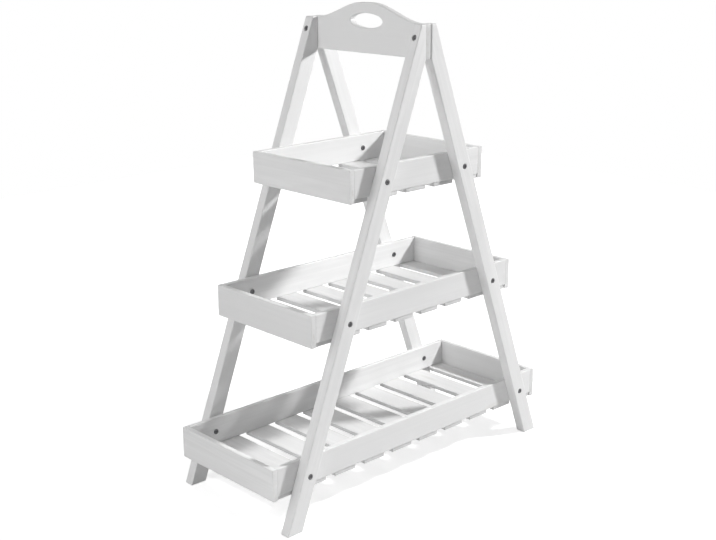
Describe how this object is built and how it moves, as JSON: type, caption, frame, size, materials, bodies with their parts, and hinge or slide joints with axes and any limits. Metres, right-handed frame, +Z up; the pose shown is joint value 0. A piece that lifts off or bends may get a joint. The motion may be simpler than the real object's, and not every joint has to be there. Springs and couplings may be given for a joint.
{
  "type": "plant ladder stand",
  "caption": "White painted wooden A-frame plant stand with slatted trays that grow longer towards the floor and an arched handle board with a hand hole.",
  "frame": {"origin": "on the floor, at the middle of the footprint in X and Y", "axes": "+X along the long side of the trays, towards the right of the front view; +Y across the depth, from the front A-frame to the back one; +Z up"},
  "size_m": [0.8, 0.34, 0.9985],
  "materials": {
    "painted_frame": "white satin paint, brushed, on planed softwood legs and handle board",
    "painted_board": "white satin paint, brushed, on thin softwood boards",
    "painted_slat": "white satin paint, thinner and slightly grainier, on the slats",
    "bolt_steel": "dull zinc plated steel"
  },
  "bodies": {
    "root": {"leg_front_left": "painted_frame", "leg_front_right": "painted_frame", "leg_back_left": "painted_frame", "leg_back_right": "painted_frame", "handle_board": "painted_frame", "top_side_board_front": "painted_board", "top_side_board_back": "painted_board", "top_end_board_left": "painted_board", "top_end_board_right": "painted_board", "top_slat_1": "painted_slat", "top_slat_2": "painted_slat", "top_slat_3": "painted_slat", "top_slat_4": "painted_slat", "top_slat_5": "painted_slat", "middle_side_board_front": "painted_board", "middle_side_board_back": "painted_board", "middle_end_board_left": "painted_board", "middle_end_board_right": "painted_board", "middle_slat_1": "painted_slat", "middle_slat_2": "painted_slat", "middle_slat_3": "painted_slat", "middle_slat_4": "painted_slat", "middle_slat_5": "painted_slat", "middle_slat_6": "painted_slat", "middle_slat_7": "painted_slat", "middle_slat_8": "painted_slat", "bottom_side_board_front": "painted_board", "bottom_side_board_back": "painted_board", "bottom_end_board_left": "painted_board", "bottom_end_board_right": "painted_board", "bottom_slat_1": "painted_slat", "bottom_slat_2": "painted_slat", "bottom_slat_3": "painted_slat", "bottom_slat_4": "painted_slat", "bottom_slat_5": "painted_slat", "bottom_slat_6": "painted_slat", "bottom_slat_7": "painted_slat", "bottom_slat_8": "painted_slat", "bottom_slat_9": "painted_slat", "bottom_slat_10": "painted_slat", "handle_bolt_front": "bolt_steel", "handle_sleeve_nut_front": "bolt_steel", "handle_bolt_back": "bolt_steel", "handle_sleeve_nut_back": "bolt_steel", "top_bolt_front_left": "bolt_steel", "top_bolt_front_right": "bolt_steel", "top_bolt_back_left": "bolt_steel", "top_bolt_back_right": "bolt_steel", "middle_bolt_front_left": "bolt_steel", "middle_bolt_front_right": "bolt_steel", "middle_bolt_back_left": "bolt_steel", "middle_bolt_back_right": "bolt_steel", "bottom_bolt_front_left": "bolt_steel", "bottom_bolt_front_right": "bolt_steel", "bottom_bolt_back_left": "bolt_steel", "bottom_bolt_back_right": "bolt_steel"}
  },
  "joints": []
}
